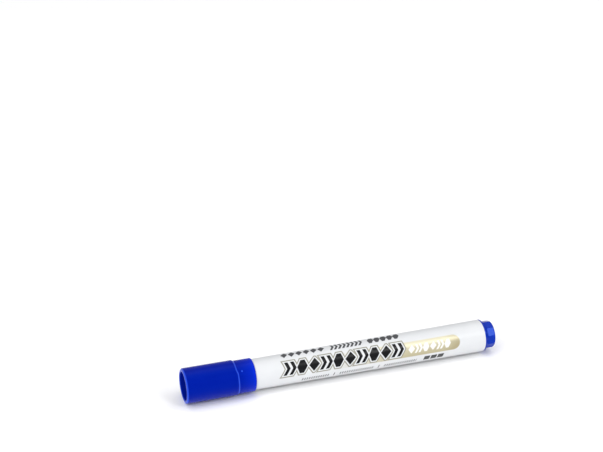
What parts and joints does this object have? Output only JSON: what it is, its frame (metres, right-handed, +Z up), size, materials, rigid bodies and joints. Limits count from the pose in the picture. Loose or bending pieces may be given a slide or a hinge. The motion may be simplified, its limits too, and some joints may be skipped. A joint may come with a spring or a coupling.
{
  "type": "whiteboard marker",
  "caption": "Capped felt-tip whiteboard marker with a round tapered barrel, pull-off cap with an end socket, and a post on its rear plug.",
  "frame": {"origin": "on the surface below the middle of the marker's length, with the marker lying level", "axes": "+X along the marker from the cap's open end to the rear plug, +Z up, -Y the side with the print"},
  "size_m": [0.1484, 0.016, 0.016],
  "materials": {
    "cap_plastic": "semi-gloss moulded polypropylene, deep blue",
    "plug_plastic": "semi-gloss moulded polypropylene, blue",
    "liner_plastic": "soft natural polyethylene",
    "barrel_plastic": "semi-gloss white moulded polypropylene",
    "holder_plastic": "satin white moulded polypropylene",
    "nib_fibre": "sintered acrylic fibre wetted with blue ink",
    "reservoir_fibre": "polyester fibre bundle wetted with blue ink",
    "film": "thin clear film"
  },
  "bodies": {
    "barrel": {"barrel": "barrel_plastic", "nib_holder": "holder_plastic", "nib": "nib_fibre", "reservoir_fibre": "reservoir_fibre", "reservoir_film": "film", "rear_plug": "plug_plastic"},
    "cap": {"cap": "cap_plastic", "inner_cap": "liner_plastic"}
  },
  "joints": [
    {"name": "cap_pull", "type": "slide", "parent": "barrel", "child": "cap", "axis": [-1, 0, 0], "range_m": [0, 0.035]}
  ]
}
